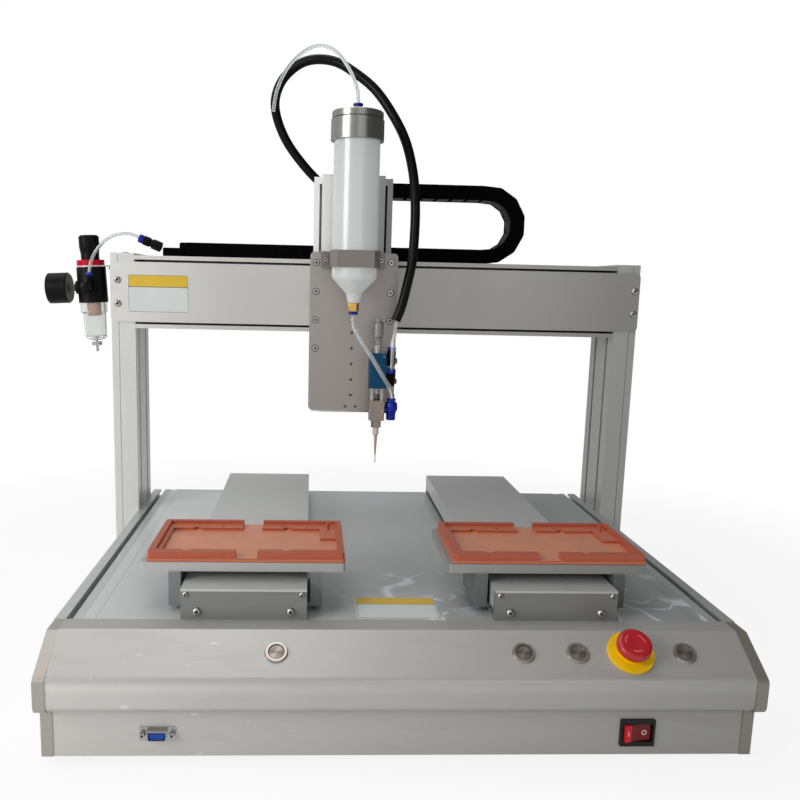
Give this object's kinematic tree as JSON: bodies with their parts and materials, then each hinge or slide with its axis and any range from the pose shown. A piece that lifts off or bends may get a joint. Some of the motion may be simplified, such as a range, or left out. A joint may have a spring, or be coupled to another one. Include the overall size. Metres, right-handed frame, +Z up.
{
  "type": "desktop dispensing robot",
  "caption": "Benchtop gantry dispensing robot: base with sliding fixture tables, beam on columns, travelling head with reservoir, needle valve, drag chain and air regulator.",
  "frame": {"origin": "centre of the base's underside; the rubber feet reach 8 mm below it", "axes": "+X to the operator's right, +Y to the back, +Z up"},
  "size_m": [0.7662, 0.5201, 0.684],
  "materials": {
    "silver": "bead-blasted and anodised, satin",
    "dark_silver": "mid grey, satin",
    "steel": "machined",
    "black": "moulded, satin",
    "rubber_black": "soft, dull",
    "terracotta": "reddish anodised look, satin",
    "milky": "milky translucent",
    "clear": "clear",
    "valve_blue": "blue anodised, satin",
    "fitting_blue": "moulded",
    "brass": "turned",
    "red": "moulded",
    "chain_black": "moulded, satin"
  },
  "bodies": {
    "frame": {"front_fascia": "silver", "end_caps": "silver", "side_frames": "silver", "deck_plate": "dark_silver", "base_tray": "dark_silver", "rubber_feet": "rubber_black", "control_electronics": "silver", "column_left": "silver", "column_right": "silver", "beam_frame": "silver", "beam_cover": "silver", "guide_rails": "steel", "stepper_motors": "black", "y_frames": "dark_silver", "y_covers": "dark_silver", "chain_lower_run": "chain_black", "panel_bezels": "steel", "serial_port": "steel", "regulator_body": "black", "pressure_gauge": "black", "filter_bowl": "clear", "filter_element": "brass", "supply_hose": "clear"},
    "x_carriage": {"x_carriage": "silver", "z_frame": "silver", "z_cover": "silver", "z_motor": "black", "chain_upper_run": "chain_black"},
    "z_slide": {"z_plate": "silver", "tube_clamp": "silver", "reservoir_tube": "milky", "reservoir_cap": "silver", "valve_body": "valve_blue", "fluid_body": "steel", "dispense_needle": "steel", "push_fittings": "fitting_blue", "clear_hoses": "clear", "hose_sleeve": "black"},
    "y_left_table": {"y_left_carriage": "silver", "y_left_jig": "terracotta"},
    "y_right_table": {"y_right_carriage": "silver", "y_right_jig": "terracotta"},
    "x_screw": {"x_screw": "steel"},
    "y_left_screw": {"y_left_screw": "steel"},
    "y_right_screw": {"y_right_screw": "steel"},
    "z_screw": {"z_screw": "steel"},
    "chain_bend": {"chain_bend": "chain_black"},
    "push_button_1": {"push_button_1": "steel"},
    "push_button_2": {"push_button_2": "steel"},
    "push_button_3": {"push_button_3": "steel"},
    "push_button_4": {"push_button_4": "steel"},
    "estop_stem": {"estop_stem": "black"},
    "estop_head": {"estop_head": "red"},
    "rocker": {"rocker": "red"},
    "regulator_spindle": {"regulator_spindle": "steel"},
    "regulator_knob": {"regulator_knob": "black"},
    "gauge_needle": {"gauge_needle": "red"},
    "drain_valve": {"drain_valve": "steel"},
    "stroke_spindle": {"stroke_spindle": "steel"},
    "stroke_thimble": {"stroke_thimble": "silver"}
  },
  "joints": [
    {"name": "x_travel", "type": "slide", "parent": "frame", "child": "x_carriage", "axis": [1, 0, 0], "range_m": [-0.225, 0.235], "deforming": ["chain_lower_run", "chain_upper_run"]},
    {"name": "z_travel", "type": "slide", "parent": "x_carriage", "child": "z_slide", "axis": [0, 0, 1], "range_m": [-0.03, 0.055], "deforming": ["hose_sleeve", "clear_hoses"]},
    {"name": "y_left_travel", "type": "slide", "parent": "frame", "child": "y_left_table", "axis": [0, 1, 0], "range_m": [0, 0.3]},
    {"name": "y_right_travel", "type": "slide", "parent": "frame", "child": "y_right_table", "axis": [0, 1, 0], "range_m": [0, 0.3]},
    {"name": "x_screw_turn", "type": "hinge", "parent": "frame", "child": "x_screw", "pos_m": [0, 0.1975, 0.3897], "axis": [1, 0, 0], "range_deg": [-4090, 4270]},
    {"name": "y_left_screw_turn", "type": "hinge", "parent": "frame", "child": "y_left_screw", "pos_m": [-0.142, 0, 0.1165], "axis": [0, 1, 0], "range_deg": [-40, 10840]},
    {"name": "y_right_screw_turn", "type": "hinge", "parent": "frame", "child": "y_right_screw", "pos_m": [0.142, 0, 0.1165], "axis": [0, 1, 0], "range_deg": [-40, 10840]},
    {"name": "z_screw_turn", "type": "hinge", "parent": "x_carriage", "child": "z_screw", "pos_m": [-0.0375, 0.1092, 0.4], "axis": [0, 0, 1], "range_deg": [-2200, 4000]},
    {"name": "chain_bend_travel", "type": "slide", "parent": "x_carriage", "child": "chain_bend", "axis": [1, 0, 0], "range_m": [-0.12, 0.115]},
    {"name": "push_1", "type": "slide", "parent": "frame", "child": "push_button_1", "axis": [0, 0.5358, -0.8443], "range_m": [0, 0.0025], "stiffness_N_per_m": 400, "springref_m": -0.002},
    {"name": "push_2", "type": "slide", "parent": "frame", "child": "push_button_2", "axis": [0, 0.5358, -0.8443], "range_m": [0, 0.0025], "stiffness_N_per_m": 400, "springref_m": -0.002},
    {"name": "push_3", "type": "slide", "parent": "frame", "child": "push_button_3", "axis": [0, 0.5358, -0.8443], "range_m": [0, 0.0025], "stiffness_N_per_m": 400, "springref_m": -0.002},
    {"name": "push_4", "type": "slide", "parent": "frame", "child": "push_button_4", "axis": [0, 0.5358, -0.8443], "range_m": [0, 0.0025], "stiffness_N_per_m": 400, "springref_m": -0.002},
    {"name": "estop_press", "type": "slide", "parent": "frame", "child": "estop_stem", "axis": [0, 0.5358, -0.8443], "range_m": [0, 0.004], "stiffness_N_per_m": 900, "springref_m": -0.002},
    {"name": "estop_twist", "type": "hinge", "parent": "estop_stem", "child": "estop_head", "pos_m": [0.19685, -0.24499, 0.09219], "axis": [0, -0.5358, 0.8443], "range_deg": [0, 45], "stiffness_Nm_per_rad": 0.02},
    {"name": "rocker_tip", "type": "hinge", "parent": "frame", "child": "rocker", "pos_m": [0.20646, -0.25, 0.02106], "axis": [0, 0, 1], "range_deg": [0, 22]},
    {"name": "regulator_turn", "type": "hinge", "parent": "frame", "child": "regulator_spindle", "pos_m": [-0.3686, 0.17, 0.3745], "axis": [-0.0558, 0, 0.9984], "range_deg": [-720, 720]},
    {"name": "regulator_lift", "type": "slide", "parent": "regulator_spindle", "child": "regulator_knob", "axis": [-0.0558, 0, 0.9984], "range_m": [0, 0.003]},
    {"name": "gauge_sweep", "type": "hinge", "parent": "frame", "child": "gauge_needle", "pos_m": [-0.36972, 0.17, 0.39447], "axis": [-0.9984, 0, -0.0558], "range_deg": [-270, 0], "stiffness_Nm_per_rad": 0.0005},
    {"name": "drain_push", "type": "slide", "parent": "frame", "child": "drain_valve", "axis": [-0.0558, 0, 0.9984], "range_m": [0, 0.002], "stiffness_N_per_m": 300, "springref_m": -0.002},
    {"name": "stroke_advance", "type": "slide", "parent": "z_slide", "child": "stroke_spindle", "axis": [0, 0, 1], "range_m": [-0.000375, 0.000375]},
    {"name": "stroke_turn", "type": "hinge", "parent": "stroke_spindle", "child": "stroke_thimble", "pos_m": [-0.0065, 0.05, 0.34], "axis": [0, 0, 1], "range_deg": [-275, 275]}
  ],
  "couplings": [
    {"joint": "x_screw_turn", "follows": "x_travel", "rad_per_m": 314.16},
    {"joint": "y_left_screw_turn", "follows": "y_left_travel", "rad_per_m": 628.32},
    {"joint": "y_right_screw_turn", "follows": "y_right_travel", "rad_per_m": 628.32},
    {"joint": "z_screw_turn", "follows": "z_travel", "rad_per_m": 1256.6},
    {"joint": "chain_bend_travel", "follows": "x_travel", "ratio": -0.5},
    {"joint": "stroke_turn", "follows": "stroke_advance", "rad_per_m": 12566}
  ]
}
